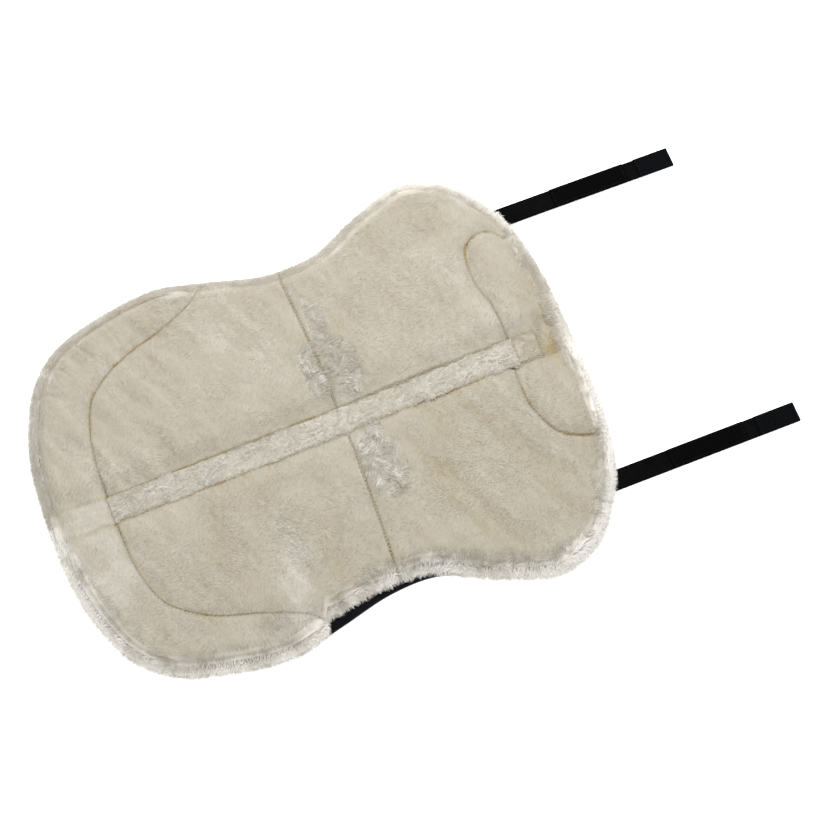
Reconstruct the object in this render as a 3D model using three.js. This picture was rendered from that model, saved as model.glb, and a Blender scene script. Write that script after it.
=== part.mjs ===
// Fleece-lined saddle half pad with two touch-fastening straps, laid flat with its fleece side up.
// Millimetres. +X points to the withers end, where the straps leave the pad; +Y is the left half as it lies; +Z up.
// The origin is on the underside of the spine tape, half-way along the pad.
import * as THREE from 'three';
import { mergeVertices } from 'three/addons/utils/BufferGeometryUtils.js';

// Driving dimensions
const GAP = 0.3;                    // left between pieces that touch
const SEAM = 1.2;                   // half-width of the groove along a curved seam
const COTTON = { top: 3, inset: 3 };
const FOAM = { bottom: COTTON.top + GAP, top: 8 };
const FLEECE = { bottom: FOAM.top + GAP, edge: 14, crown: 21, shoulder: 12 };
const RIM = { width: 13, bottom: COTTON.top + GAP, outerTop: 10, top: 16 };
const COTTON_INNER_Y = 16;
const PANEL_INNER_Y = 21;
const SPINE_RAMP = 40;              // how far from the spine the fleece takes to reach its full height
const SPINE = { rear: -267, front: 264, tapeHalf: 12.7, tapeTop: 1.6 };
const SQUARE = { rear: 208.6, front: 232 };
const CROSS_SEAM_X = 27;
const WAIST = { rear: -58, front: 58 };
const POCKET = { rear: 203, reach: 116, cornerReach: 96, front: 252 };
const STRAP = { y: 147, width: 20, hingeX: 256, tapeStart: 308, tipX: 393, thick: 1.8 };
const STRAP_END = { left: 438, right: 443 };
const ANCHOR = { rear: 232, front: 254.9 };

const COLOURS = {
  fleece: [0xe6dcc4, 0.95],
  trimmedFleece: [0xece6d6, 0.95],
  rimFleece: [0xe2ddd0, 0.95],
  foam: [0xd9d6c8, 0.9],
  cotton: [0x17171a, 0.85],
  webbing: [0x101114, 0.7],
  tape: [0x14161c, 0.8],
};

const pad = new THREE.Group();

function addPiece(name, geometry, look) {
  const [colour, roughness] = COLOURS[look];
  const material = new THREE.MeshStandardMaterial({ color: colour, roughness, metalness: 0 });
  const mesh = new THREE.Mesh(geometry, material);
  mesh.name = name;
  pad.add(mesh);
}

// Half of the pad's outline, from the rear end of the spine round the flank to the front end.
const HALF_OUTLINE = new THREE.CatmullRomCurve3([
  [-271, 0], [-268, 60], [-257, 105], [-238, 145], [-206, 173], [-160, 188], [-100, 196.5],
  [-46, 185], [10, 172.5], [60, 173.5], [110, 196], [163, 213], [205, 201], [233, 173],
  [256, 130], [266, 70], [268, 0],
].map(([x, y]) => new THREE.Vector3(x, y, 0)), false, 'centripetal');

// Seam between the rear panel and the rear band, from the spine to the flank.
const REAR_SEAM = new THREE.CatmullRomCurve3([
  [-210, PANEL_INNER_Y], [-208, 45], [-203, 77], [-190, 108], [-155, 134], [-110, 149], [-62, 170],
].map(([x, y]) => new THREE.Vector3(x, y, 0)), false, 'centripetal');

const OUTLINE_STEPS = 160;

function offsetLine(curve, steps, inset) {
  const line = [];
  for (let i = 0; i <= steps; i += 1) {
    const point = curve.getPoint(i / steps);
    const along = curve.getTangent(i / steps);
    line.push(new THREE.Vector2(point.x + along.y * inset, point.y - along.x * inset));
  }
  return line;
}

// A line's y at x, on the side away from the spine.
function yAt(line, x) {
  let best = 0;
  for (let i = 1; i < line.length; i += 1) {
    const a = line[i - 1];
    const b = line[i];
    if ((a.x - x) * (b.x - x) <= 0 && a.x !== b.x) {
      best = Math.max(best, a.y + ((b.y - a.y) * (x - a.x)) / (b.x - a.x));
    }
  }
  return best;
}

// The stretch of a line between two conditions, resampled to a number of even steps.
function resample(line, steps) {
  const curve = new THREE.CatmullRomCurve3(line.map((p) => new THREE.Vector3(p.x, p.y, 0)));
  curve.arcLengthDivisions = 400;
  return curve.getSpacedPoints(steps).map((p) => new THREE.Vector2(p.x, p.y));
}

const outlineAt = (inset) => offsetLine(HALF_OUTLINE, OUTLINE_STEPS, inset);
const EDGE = outlineAt(0);
const RIM_INNER = outlineAt(RIM.width);
const PANEL_EDGE = outlineAt(RIM.width + SEAM);

const smooth = (t) => {
  const s = Math.min(1, Math.max(0, t));
  return s * s * (3 - 2 * s);
};

// Highest that the fleece may stand at a distance from the spine, so that the halves can fold together.
function spineRamp(y) {
  return FLEECE.bottom + GAP + (FLEECE.crown - FLEECE.bottom) * smooth((Math.abs(y) - PANEL_INNER_Y) / SPINE_RAMP);
}

// A closed body through cross-sections that all have the same number of points.
function loft(sections) {
  const count = sections[0].length;
  const positions = sections.flat().flatMap((p) => [p.x, p.y, p.z]);
  const faces = [];
  for (let s = 1; s < sections.length; s += 1) {
    for (let i = 0; i < count; i += 1) {
      const j = (i + 1) % count;
      const a = (s - 1) * count + i;
      const b = (s - 1) * count + j;
      faces.push(a, b, s * count + j, a, s * count + j, s * count + i);
    }
  }
  for (const [start, turn] of [[0, true], [(sections.length - 1) * count, false]]) {
    const section = sections[start / count];
    const across = section[1].clone().sub(section[0]).setZ(0).normalize();
    const flat = section.map((p) => new THREE.Vector2(p.clone().sub(section[0]).dot(across), p.z));
    const swap = turn === THREE.ShapeUtils.area(flat) > 0;
    for (const [a, b, c] of THREE.ShapeUtils.triangulateShape(flat, [])) {
      faces.push(start + a, start + (swap ? c : b), start + (swap ? b : c));
    }
  }
  const geometry = new THREE.BufferGeometry();
  geometry.setAttribute('position', new THREE.Float32BufferAttribute(positions, 3));
  geometry.setIndex(signedVolume(positions, faces) < 0 ? faces.reverse() : faces);
  return geometry;
}

function signedVolume(positions, faces) {
  const corner = (i) => new THREE.Vector3().fromArray(positions, i * 3);
  let sum = 0;
  for (let f = 0; f < faces.length; f += 3) {
    sum += corner(faces[f]).dot(corner(faces[f + 1]).cross(corner(faces[f + 2])));
  }
  return sum;
}

const ACROSS = [0, 0.05, 0.14, 0.32, 0.5, 0.68, 0.86, 0.95, 1];

// One domed cross-section between two edge points, flat underneath.
function domedSection(a, b, z) {
  const width = a.distanceTo(b);
  const section = [new THREE.Vector3(a.x, a.y, z.bottom), new THREE.Vector3(b.x, b.y, z.bottom)];
  for (const t of [...ACROSS].reverse()) {
    const p = a.clone().lerp(b, t);
    const edge = z.start + (z.end - z.start) * t;
    const near = Math.min(t, 1 - t) * width;
    const dome = Math.sin(Math.min(1, near / FLEECE.shoulder) * Math.PI / 2);
    section.push(new THREE.Vector3(p.x, p.y, Math.min(edge + (z.crown - edge) * dome, spineRamp(p.y))));
  }
  return section;
}

function flatSection(a, b, bottom, top) {
  return [[a, bottom], [b, bottom], [b, top], [a, top]].map(([p, z]) => new THREE.Vector3(p.x, p.y, z));
}

// Both lines run the same way; side is 1 for the left half and -1 for the right.
function band(inner, outer, side, section) {
  return loft(inner.map((a, i) => section(
    new THREE.Vector2(a.x, a.y * side),
    new THREE.Vector2(outer[i].x, outer[i].y * side),
  )));
}

const domed = (crown, start, end, bottom = FLEECE.bottom) => (a, b) => domedSection(a, b, { bottom, crown, start, end });
const foamLayer = (a, b) => flatSection(a, b, FOAM.bottom, FOAM.top);

function stations(from, to, steps) {
  return Array.from({ length: steps + 1 }, (_, i) => from + ((to - from) * i) / steps);
}

// Boundaries of the fleece pieces and of the foam pieces below them.
function rearPanelLines(inset) {
  const seam = offsetLine(REAR_SEAM, 60, SEAM + inset);
  const edge = outlineAt(RIM.width + SEAM + inset);
  const xs = stations(-208 + inset, CROSS_SEAM_X - inset / 2, 14);
  const reach = (x) => (x < REAR_SEAM.getPoint(1).x ? Math.min(yAt(seam, x), yAt(edge, x)) : yAt(edge, x));
  return [
    xs.map((x) => new THREE.Vector2(x, PANEL_INNER_Y)),
    xs.map((x) => new THREE.Vector2(x, Math.max(reach(x), PANEL_INNER_Y + 12) - GAP)),
  ];
}

function frontPanelLines(inset) {
  const edge = outlineAt(RIM.width + SEAM + inset);
  const turn = POCKET.rear - 2.5;
  const innerAt = [
    ...stations(CROSS_SEAM_X + inset / 2, turn - 3 - inset, 10).map((x) => [x, PANEL_INNER_Y]),
    [turn - inset, POCKET.reach + 1 + inset],
    [turn + 14, POCKET.reach + 8 + inset],
    [turn + 26, POCKET.reach + 5 + inset],
  ];
  return [
    innerAt.map(([x, y]) => new THREE.Vector2(x, y)),
    innerAt.map(([x]) => new THREE.Vector2(x, yAt(edge, x) - GAP)),
  ];
}

function pocketLines(inset) {
  const xs = stations(POCKET.rear + inset, POCKET.front - inset, 6);
  const reachAt = (x) => {
    const t = (x - POCKET.rear) / (POCKET.front - POCKET.rear);
    return POCKET.reach + 6 * Math.sin(Math.PI * t) + (POCKET.cornerReach - POCKET.reach) * smooth(t * 1.6 - 0.6);
  };
  return [
    xs.map((x) => new THREE.Vector2(x, PANEL_INNER_Y)),
    xs.map((x) => new THREE.Vector2(x, Math.min(reachAt(x), yAt(PANEL_EDGE, x) - 1) - inset)),
  ];
}

function rearBandLines(inset) {
  const outer = outlineAt(RIM.width + SEAM + inset)
    .filter((p) => p.x < WAIST.rear - 6 && p.y >= PANEL_INNER_Y);
  return [resample(offsetLine(REAR_SEAM, 60, -SEAM - inset), 18), resample(outer, 18)];
}

function rimLines(from, to, steps) {
  const inside = (p) => p.x >= from && p.x <= to && p.y >= PANEL_INNER_Y;
  const keep = EDGE.map((p, i) => inside(p) && RIM_INNER[i].y >= PANEL_INNER_Y);
  return [RIM_INNER, EDGE].map((line) => resample(line.filter((_, i) => keep[i]), steps));
}

function prism(outline, bottom, top) {
  const shape = new THREE.Shape(outline);
  const geometry = new THREE.ExtrudeGeometry(shape, { depth: top - bottom, bevelEnabled: false, curveSegments: 4 });
  geometry.deleteAttribute('normal');
  geometry.deleteAttribute('uv');
  return mergeVertices(geometry).translate(0, 0, bottom);
}

function block(x, y, z) {
  return new THREE.BoxGeometry(x[1] - x[0], y[1] - y[0], z[1] - z[0])
    .translate((x[0] + x[1]) / 2, (y[0] + y[1]) / 2, (z[0] + z[1]) / 2);
}

// Quilted cotton cover, with a notch in its front edge where the strap's sewn end lies.
function cottonCover(side) {
  const edge = outlineAt(COTTON.inset).filter((p) => p.y > COTTON_INNER_Y).filter((_, i) => i % 3 === 0);
  const halfNotch = STRAP.width / 2 + GAP;
  const outer = [];
  let notched = false;
  for (const p of edge) {
    const atNotch = p.x > ANCHOR.rear && Math.abs(p.y - STRAP.y) <= halfNotch + 1;
    if (atNotch && !notched) {
      notched = true;
      for (const [sign, deep] of [[1, false], [1, true], [-1, true], [-1, false]]) {
        const y = STRAP.y + sign * halfNotch;
        outer.push(new THREE.Vector2(deep ? ANCHOR.rear - GAP : yToFrontX(y), y));
      }
    }
    if (!atNotch) {
      outer.push(p);
    }
  }
  const closing = [
    new THREE.Vector2(outer[outer.length - 1].x, COTTON_INNER_Y),
    new THREE.Vector2(outer[0].x, COTTON_INNER_Y),
  ];
  return prism([...outer, ...closing].map((p) => new THREE.Vector2(p.x, p.y * side)), 0, COTTON.top);
}

// Where the cotton's front edge stands at y.
function yToFrontX(y) {
  const front = outlineAt(COTTON.inset).filter((p) => p.x > 200);
  const at = front.findIndex((p) => p.y < y);
  const a = front[at - 1];
  const b = front[at];
  return a.x + ((b.x - a.x) * (y - a.y)) / (b.y - a.y);
}

// Binding that closes the open edge of the cotton at the waist, outside the fleece.
function flankBinding(side) {
  const outer = outlineAt(0).filter((p) => p.x > WAIST.rear + 6 && p.x < WAIST.front + 2);
  const inner = outlineAt(2.6).filter((p) => p.x > WAIST.rear + 6 && p.x < WAIST.front + 2);
  const count = Math.min(outer.length, inner.length) - 1;
  return band(resample(inner, count), resample(outer, count), side, (a, b) => flatSection(a, b, 0, 9));
}

function addHalf(label, side) {
  addPiece(`${label}_cotton_cover`, cottonCover(side), 'cotton');
  addPiece(`${label}_flank_binding`, flankBinding(side), 'cotton');

  const foamInset = 4;
  addPiece(`${label}_rear_foam`, band(...rearPanelLines(foamInset), side, foamLayer), 'foam');
  addPiece(`${label}_front_foam`, band(...frontPanelLines(foamInset), side, foamLayer), 'foam');
  addPiece(`${label}_wither_foam`, band(...pocketLines(foamInset), side, foamLayer), 'foam');
  addPiece(`${label}_rear_riser_foam`, band(...rearBandLines(foamInset), side, foamLayer), 'foam');

  const { crown, edge } = FLEECE;
  addPiece(`${label}_rear_fleece`, band(...rearPanelLines(0), side, domed(crown + 1, edge, edge)), 'fleece');
  addPiece(`${label}_front_fleece`, band(...frontPanelLines(0), side, domed(crown + 1, edge, edge)), 'fleece');
  addPiece(`${label}_wither_fleece`, band(...pocketLines(0), side, domed(crown - 1, edge, edge)), 'fleece');
  addPiece(`${label}_rear_band_fleece`, band(...rearBandLines(0), side, domed(crown, edge, edge + 1)), 'fleece');

  const rimDome = domed(RIM.top, RIM.top - 1, RIM.outerTop, RIM.bottom);
  addPiece(`${label}_rear_edge_roll`, band(...rimLines(-300, WAIST.rear - 1, 26), side, rimDome), 'rimFleece');
  addPiece(`${label}_front_edge_roll`, band(...rimLines(WAIST.front + 3, 300, 24), side, rimDome), 'rimFleece');
  addPiece(`${label}_flank_edge_roll`, flankRoll(side), 'rimFleece');
  addStrap(label, side);
}

// The fleece edge at the waist stands just inside the binding.
function flankRoll(side) {
  const keep = (p) => p.x > WAIST.rear + 4 && p.x < WAIST.front;
  const inner = resample(outlineAt(RIM.width).filter(keep), 10);
  const outer = resample(outlineAt(2.6 + GAP).filter(keep), 10);
  return band(inner, outer, side, domed(RIM.top, RIM.top - 1, RIM.outerTop, RIM.bottom));
}

// Webbing strap: a sewn end under the pad's edge, a bare length, loop tape, and a tip that carries the hook tape.
function addStrap(label, side) {
  const y = [side * STRAP.y - STRAP.width / 2, side * STRAP.y + STRAP.width / 2];
  const webbing = [0, STRAP.thick];
  const tape = [STRAP.thick + GAP, 2 * STRAP.thick + GAP];
  addPiece(`${label}_strap_anchor`, block([ANCHOR.rear, ANCHOR.front], y, webbing), 'webbing');
  addPiece(`${label}_strap_webbing`, block([STRAP.hingeX + 1, STRAP.tipX - 0.5], y, webbing), 'webbing');
  addPiece(`${label}_loop_tape`, block([STRAP.tapeStart, STRAP.tipX - 0.5], y, tape), 'tape');
  addPiece(`${label}_tip_webbing`, block([STRAP.tipX + 3, STRAP_END[label]], y, webbing), 'webbing');
  addPiece(`${label}_hook_tape`, block([STRAP.tipX + 1.4, STRAP_END[label]], y, tape), 'tape');
}

// Section of the fleece over the spine, narrow enough to stay clear of both halves when they fold up.
function spineFleece(from, to, height) {
  const half = [
    [SPINE.tapeHalf, SPINE.tapeTop + GAP], [SPINE.tapeHalf - 0.2, 2.5], [9.2, 7], [7.6, height - 2], [5, height],
  ];
  const mirrored = [...half].reverse().map(([y, z]) => [-y, z]);
  const ring = [...half, ...mirrored].map(([y, z]) => new THREE.Vector3(0, y, z));
  return loft([from, to].map((x) => ring.map((p) => p.clone().setX(x))));
}

function addSpine() {
  const width = [-SPINE.tapeHalf, SPINE.tapeHalf];
  addPiece('spine_tape', block([SPINE.rear, SPINE.front], width, [0, SPINE.tapeTop]), 'webbing');
  addPiece('spine_rear_fleece', spineFleece(SPINE.rear, -210.6, 12), 'fleece');
  addPiece('spine_strip', spineFleece(-210, SQUARE.rear - 0.6, 14), 'trimmedFleece');
  addPiece('spine_square', spineFleece(SQUARE.rear, SQUARE.front, 14), 'trimmedFleece');
  addPiece('spine_front_fleece', spineFleece(SQUARE.front + 0.6, SPINE.front, 12), 'fleece');
}

addSpine();
addHalf('left', 1);
addHalf('right', -1);

export default pad;
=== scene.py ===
"""Fleece-lined saddle half pad, lying fleece side up, with two touch-fastening straps.

Lengths in this file are millimetres in the CAD row's frame until a mesh is made, which turns them into
metres. +X points to the withers end, +Y is the left half, +Z is up. Shapes are worked out for the left half
and mirrored for the right, so that y is the distance from the spine.
"""

import math

import bpy
import numpy as np
from mathutils import Matrix, Vector


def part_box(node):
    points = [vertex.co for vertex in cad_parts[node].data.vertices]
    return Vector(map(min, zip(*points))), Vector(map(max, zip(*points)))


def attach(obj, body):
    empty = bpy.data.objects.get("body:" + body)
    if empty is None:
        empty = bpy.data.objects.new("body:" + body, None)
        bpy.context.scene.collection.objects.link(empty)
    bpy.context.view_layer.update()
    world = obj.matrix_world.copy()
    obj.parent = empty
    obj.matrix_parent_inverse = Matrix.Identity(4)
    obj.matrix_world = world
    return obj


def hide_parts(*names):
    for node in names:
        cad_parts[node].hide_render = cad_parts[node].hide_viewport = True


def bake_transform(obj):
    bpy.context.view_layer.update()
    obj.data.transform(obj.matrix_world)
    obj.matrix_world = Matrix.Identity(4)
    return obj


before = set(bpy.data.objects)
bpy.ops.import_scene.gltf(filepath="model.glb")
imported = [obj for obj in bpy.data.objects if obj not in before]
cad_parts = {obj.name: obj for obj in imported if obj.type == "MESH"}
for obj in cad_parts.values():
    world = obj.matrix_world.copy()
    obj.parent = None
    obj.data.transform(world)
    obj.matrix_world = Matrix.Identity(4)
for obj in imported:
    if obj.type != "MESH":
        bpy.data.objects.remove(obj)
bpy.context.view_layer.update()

MM = 0.001
HALVES = {"left": 1, "right": -1}
# Added to a seed so that the two halves differ.
SIDE_SEED = {"left": 0, "right": 1}


def node_box(node):
    """Lowest and highest corner of a CAD node, in millimetres."""
    low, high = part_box(node)
    return np.array(low) / MM, np.array(high) / MM


# ---- dimensions

TAPE_LOW, TAPE_HIGH = node_box("spine_tape")
STRIP_LOW, STRIP_HIGH = node_box("spine_strip")
SQUARE_LOW, SQUARE_HIGH = node_box("spine_square")
BINDING_LOW, BINDING_HIGH = node_box("left_flank_binding")
WEBBING_LOW, WEBBING_HIGH = node_box("left_strap_webbing")
LOOP_LOW, LOOP_HIGH = node_box("left_loop_tape")
HOOK_LOW = node_box("left_hook_tape")[0]
TIP_END = {side: node_box(f"{side}_hook_tape")[1][0] for side in HALVES}
ANCHOR_LOW = node_box("left_strap_anchor")[0]

CROSS_SEAM_X = node_box("left_front_fleece")[0][0]
STRIP_HALF = 13.5
RIM_WIDTH = 12.0
FLEECE_TOP = 20.5
VALLEY_TOP = 14.5
BACKING_Z = 7.5
PANEL_INSET = 9.0
SEAM_GAP = 0.2
SPINE_GAP = 0.15
STRAP_Y = (WEBBING_LOW[1] + WEBBING_HIGH[1]) / 2
STRAP_HALF = (WEBBING_HIGH[1] - WEBBING_LOW[1]) / 2
WEBBING_TOP = WEBBING_HIGH[2]
TAPE_TOP = LOOP_HIGH[2]

# Half of the outline, from the rear end of the spine round the flank to the front end.
HALF_OUTLINE = [
    (-271, 0), (-268, 60), (-257, 105), (-238, 145), (-206, 173), (-160, 188), (-100, 196.5),
    (-46, 185), (10, 172.5), (60, 173.5), (110, 196), (163, 213), (205, 201), (233, 173),
    (256, 130), (266, 70), (268, 0),
]
REAR_SEAM = [
    (-210, 0), (-208, 45), (-203, 77), (-190, 108), (-155, 134), (-110, 149), (-72, 165), (-56, 180),
]
# The withers pocket is larger on the left half than on the right.
POCKET_SEAM = {
    "left": [(207, 12), (205, 55), (199, 80), (197.5, 100), (202, 121), (215, 132), (231, 131), (243, 119)],
    "right": [(201, 8), (199, 40), (203, 60), (214, 84), (229, 95), (249, 101)],
}
# The way the pile was brushed, as a unit vector in plan.
BRUSHED = (0.42, -0.908)
# How far the fleece stands back from the pad's edge at the waist, showing the cotton: (x, distance).
WAIST_SETBACK = {
    "left": [(-300, 0), (-40, 0), (0, 2), (40, 0), (300, 0)],
    "right": [(-300, 0), (-60, 0), (-53, 12), (-20, 9.5), (20, 6), (50, 4), (75, 0), (300, 0)],
}


# ---- plain maths


def smooth(t):
    t = np.clip(t, 0.0, 1.0)
    return t * t * (3 - 2 * t)


def spline(points, step=2.0):
    """An evenly spaced line along a Catmull-Rom curve through the points."""
    p = np.array(points, float)
    p = np.vstack([2 * p[0] - p[1], p, 2 * p[-1] - p[-2]])
    t = np.linspace(0, 1, 24, endpoint=False)[:, None]
    pieces = []
    for a, b, c, d in zip(p[:-3], p[1:-2], p[2:-1], p[3:]):
        pieces.append(0.5 * (2 * b + (c - a) * t + (2 * a - 5 * b + 4 * c - d) * t**2
                             + (3 * b - a - 3 * c + d) * t**3))
    return even(np.vstack([*pieces, p[-2:-1]]), step)


def distances(line):
    """How far along a line each of its points is."""
    return np.r_[0, np.cumsum(np.linalg.norm(np.diff(line, axis=0), axis=1))]


def even(line, step):
    """The same line with points about a step apart."""
    return resampled(line, max(2, int(round(distances(line)[-1] / step)) + 1))


def resampled(line, count):
    """The same line with a number of points, evenly spaced."""
    lengths = distances(line)
    at = np.linspace(0, lengths[-1], count)
    return np.stack([np.interp(at, lengths, line[:, k]) for k in range(line.shape[1])], 1)


def unit(vectors):
    return vectors / np.maximum(np.linalg.norm(vectors, axis=1), 1e-6)[:, None]


def inward(line):
    """Unit normals of a line, pointing to its right-hand side, which is inside the outline."""
    along = unit(np.gradient(line, axis=0))
    return np.stack([along[:, 1], -along[:, 0]], 1)


def between(a, b, c, d, fx, fy):
    """Value inside a grid cell, from those at its corners: a and b at its low y, c and d at its high y."""
    return (a * (1 - fx) + b * fx) * (1 - fy) + (c * (1 - fx) + d * fx) * fy


NOISE_CELLS = 64


def noise(x, y, size, seed):
    """Smooth noise from -1 to 1 with features of about the size given."""
    table = np.random.default_rng(seed).uniform(-1, 1, (NOISE_CELLS, NOISE_CELLS))
    gx, gy = np.asarray(x) / size + 17.3, np.asarray(y) / size + 31.7
    ix, iy = np.floor(gx).astype(int), np.floor(gy).astype(int)
    x0, x1, y0, y1 = (cell % NOISE_CELLS for cell in (ix, ix + 1, iy, iy + 1))
    corners = table[x0, y0], table[x1, y0], table[x0, y1], table[x1, y1]
    return between(*corners, smooth(gx - ix), smooth(gy - iy))


class Distance:
    """Distance to a line over a half of the pad, looked up from a grid."""

    STEP = 2.0
    X = np.arange(-300, 302, STEP)
    Y = np.arange(-10, 240, STEP)

    def __init__(self, line):
        gx, gy = np.meshgrid(self.X, self.Y, indexing="ij")
        best = np.full(gx.shape, 1e9)
        for px, py in even(np.array(line, float), 1.5):
            best = np.minimum(best, (gx - px) ** 2 + (gy - py) ** 2)
        self.values = np.sqrt(best)

    def __call__(self, x, y):
        gx = np.clip((np.asarray(x) - self.X[0]) / self.STEP, 0, len(self.X) - 1.001)
        gy = np.clip((np.asarray(y) - self.Y[0]) / self.STEP, 0, len(self.Y) - 1.001)
        ix, iy = gx.astype(int), gy.astype(int)
        v = self.values
        return between(v[ix, iy], v[ix + 1, iy], v[ix, iy + 1], v[ix + 1, iy + 1], gx - ix, gy - iy)


EDGE = spline(HALF_OUTLINE)
EDGE_IN = inward(EDGE)
SEAM = spline(REAR_SEAM)
to_edge = Distance(EDGE)
to_rear_seam = Distance(SEAM)
POCKET_LINE = {side: spline(points) for side, points in POCKET_SEAM.items()}
to_pocket_seam = {side: Distance(line) for side, line in POCKET_LINE.items()}


def half_width(x, inset=0.0):
    """How far the pad reaches from its spine at x, less an inset along its edge's normal."""
    line = EDGE + EDGE_IN * inset
    line = line[np.r_[True, np.diff(line[:, 0]) > 0.02]]
    return np.interp(x, *line.T)


def setback(x, side):
    return np.interp(x, *zip(*WAIST_SETBACK[side]))


# ---- the fleece's height and whiteness


def cross_seam_line(y):
    return CROSS_SEAM_X - 1 - 6 * (np.abs(y) / 165) ** 2


def wandering(x, y):
    """Plan points shifted a little, so that a line measured from them wanders as a hand-guided seam does."""
    return x + 1.1 * noise(x, y, 6, 61), y + 1.1 * noise(x, y, 6, 62)


def from_seams(x, y, side):
    """Distances from the rear seam and from the withers pocket's seam."""
    at = wandering(x, y)
    return to_rear_seam(*at), to_pocket_seam[side](*at)


def groove(distance, depth, width):
    return depth * np.exp(-((distance / width) ** 2))


def strip_centre(x):
    """The spine strip wanders a little to the left towards the withers."""
    return np.interp(x, [-270, -200, 0, 100, 232, 270], [-2, -3.5, -0.5, 4, 6, 4])


def strip_reach(x, side):
    """From the strip's middle to its uneven edge on one side."""
    along = 40.0 * HALVES[side] + 0 * x
    return STRIP_HALF + 0.8 * noise(x, along, 11, 153) + 0.35 * noise(x, along, 6, 156)


def from_strip(x, y, side):
    """Distance outwards from the strip's edge."""
    return y - HALVES[side] * strip_centre(x) - strip_reach(x, side)


def brushed_axes(x, y):
    """Distances along and across the way the pile was brushed."""
    return BRUSHED[0] * x + BRUSHED[1] * y, -BRUSHED[1] * x + BRUSHED[0] * y


def streaks(x, y, side, seed):
    """Long soft marks left by brushing, from -1 to 1."""
    along, across = brushed_axes(x, y * HALVES[side])
    return 0.6 * noise(along / 6, across, 9, seed) + 0.4 * noise(along / 4, across, 4.5, seed + 1)


def curls(x, y, size, seed):
    """Puffy curls, from 0 in the creases between them to 1 on their crests."""
    bent_x = x + 0.6 * size * noise(x, y, 1.6 * size, seed + 1)
    bent_y = y + 0.6 * size * noise(x, y, 1.6 * size, seed + 2)
    return np.minimum(1.5 * np.abs(noise(bent_x, bent_y, size, seed)), 1) ** 0.8


def hollow(x, y, start, end, width):
    """1 along a straight hollow, fading over its width and beyond its ends."""
    (x0, y0), (x1, y1) = start, end
    length = math.hypot(x1 - x0, y1 - y0)
    ux, uy = (x1 - x0) / length, (y1 - y0) / length
    along = (x - x0) * ux + (y - y0) * uy
    across = (y - y0) * ux - (x - x0) * uy
    beyond = np.maximum(np.maximum(-along, along - length), 0)
    return np.exp(-((across / width) ** 2) - (beyond / (2 * width)) ** 2)


# Hollows pressed into the fleece: start, end, width and depth. The depth also darkens the fleece's colour in
# whiteness, as painted shade.
HOLLOWS = {
    "left": [
        ((-181, 149), (-190, 163), 2.6, 1.6), ((-211, 143), (-224, 157), 2.6, 1.6),
        ((-227, 122), (-241, 130), 2.6, 1.6), ((-150, 152), (-156, 172), 3.0, 1.0),
        ((244, 15), (252, 78), 9.0, 1.6), ((240, 0), (243, 14), 8.0, 3.2), ((100, 60), (128, 150), 16.0, 1.0),
    ],
    "right": [
        ((99, 90), (133, 173), 13.0, 3.2), ((132, 29), (178, 100), 17.0, 2.6),
        ((178, 100), (190, 150), 13.0, 1.6), ((-22, 60), (-30, 125), 10.0, 1.6),
        ((240, 0), (243, 12), 8.0, 3.2), ((-120, 60), (-150, 110), 14.0, 1.3),
    ],
}


def hollows(x, y, side):
    return sum(depth * hollow(x, y, start, end, width) for start, end, width, depth in HOLLOWS[side])


def folds(x, y, side):
    """Soft folds and ripples in the panels, in millimetres of height."""
    if side == "left":
        along, across = brushed_axes(x, y)
        ripples = noise(along / 5.5, across, 12, 30) * (1 - smooth((to_rear_seam(x, y) - 50) / 60))
        ripples = ripples * smooth((-30 - x) / 60)
        swell = 0.8 * noise(along / 3, across, 38, 31) * smooth((x - 20) / 50)
        return 2.0 * ripples + swell
    along, across = 0.31 * x + 0.95 * y, 0.95 * x - 0.31 * y
    return 1.6 * rear_ridge(x, y) + 0.6 * noise(along / 4, across, 17, 33)


def rear_ridge(x, y):
    """A low ridge across the right rear panel, from 0 to 1, with a paler crest."""
    return np.exp(-(((x + 46 + 0.10 * y) / 13) ** 2)) * smooth((y - 30) / 40)


def rim_seam_shows(x, y, side):
    """Where the rim's seam shows: the rear, most of the right half, and the left front corner."""
    rear = smooth((-70 - x) / 30)
    if side == "right":
        return np.maximum(rear, 0.8 * smooth((x + 58) / 10))
    return np.maximum(rear, smooth((x - 195) / 20) * smooth((y - 115) / 15))


def rim_seam(x, y, side, depth, width):
    away = to_edge(x, y) - setback(x, side) - RIM_WIDTH
    return groove(away, depth, width) * rim_seam_shows(x, y, side) * (0.75 + 0.5 * noise(x, y, 17, 38))


def rear_seam_shows(x):
    """The rear seam sinks away towards its flank end."""
    return 0.35 + 0.65 * smooth((-75 - x) / 50)


def shaggy_edge(x, side):
    """0 where the pile rolls smoothly over the pad's edge, 1 where it is long and tousled there."""
    if side == "left":
        return 0.25 * smooth((x - 215) / 20) + 0.7 * np.exp(-(((x - 247) / 5) ** 2))
    return 0.45 + 0.55 * smooth((x + 60) / 30) - 0.4 * smooth((x - 215) / 30)


def edge_fluff(x, y, side):
    """Tousled pile that reaches in from the edge."""
    inside = to_edge(x, y) - setback(x, side)
    reach = 15 + 6 * noise(x, y, 22, 39)
    return shaggy_edge(x, side) * (1 - smooth((inside - reach) / 8))


def edge_height(inside):
    """How high the fleece may stand at a distance inside the pad's edge."""
    return np.interp(inside, [0.6, 2, 4.5, 8, 12, 16, 22], [8.5, 11.4, 13.9, 15.8, 17.8, 19.4, 30])


EDGE_DROP = {"left": 4.6, "right": 3.2}


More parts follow.
